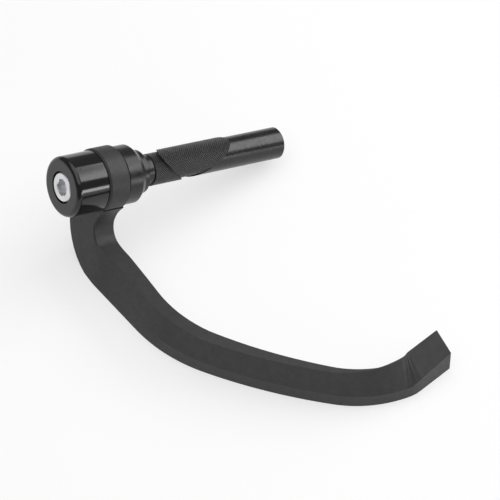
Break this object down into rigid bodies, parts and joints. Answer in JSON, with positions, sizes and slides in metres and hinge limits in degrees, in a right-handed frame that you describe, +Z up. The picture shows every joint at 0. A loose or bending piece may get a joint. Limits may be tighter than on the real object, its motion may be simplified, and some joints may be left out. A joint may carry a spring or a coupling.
{
  "type": "lever guard",
  "caption": "Handlebar-end lever guard: a curved faceted arm on a clamped ring, with end cap, stepped collar and a slanted-wedge expander drawn up by a socket-head bolt.",
  "frame": {"origin": "on the handlebar's axis, in the collar's shoulder face that seats on the end of the handlebar", "axes": "+X along the handlebar's axis from the end cap into the bar, +Y across it away from the guard's arm, +Z up"},
  "size_m": [0.141, 0.189, 0.0689],
  "materials": {
    "gloss_black": "polished, black anodised",
    "bolt_steel": "bright turned steel",
    "matt_black": "fine matt, black anodised",
    "satin_black": "satin, black anodised",
    "knurled_black": "diamond knurled, black anodised",
    "tube_black": "smooth satin, black anodised"
  },
  "bodies": {
    "mount_body": {"collar": "satin_black", "end_cap": "gloss_black", "outer_wedge": "knurled_black"},
    "guard": {"guard_arm": "matt_black"},
    "bolt": {"clamp_bolt": "bolt_steel"},
    "sliding_wedge": {"middle_wedge": "knurled_black"},
    "nut": {"nut_tube": "tube_black"}
  },
  "joints": [
    {"name": "guard_swivel", "type": "hinge", "parent": "mount_body", "child": "guard", "pos_m": [-0.02222, 0, 0], "axis": [1, 0, 0], "range_deg": [-45, 45]},
    {"name": "bolt_turn", "type": "hinge", "parent": "mount_body", "child": "bolt", "pos_m": [-0.04, 0, 0], "axis": [1, 0, 0], "range_deg": [-555, 195]},
    {"name": "nut_travel", "type": "slide", "parent": "mount_body", "child": "nut", "axis": [1, 0, 0], "range_m": [-0.00075, 0.00225]},
    {"name": "wedge_travel", "type": "slide", "parent": "mount_body", "child": "sliding_wedge", "axis": [-0.7071, 0, 0.7071], "range_m": [-0.00135, 0.00045]}
  ],
  "couplings": [
    {"joint": "bolt_turn", "follows": "nut_travel", "rad_per_m": -4188.8},
    {"joint": "wedge_travel", "follows": "nut_travel", "ratio": -0.57723}
  ]
}
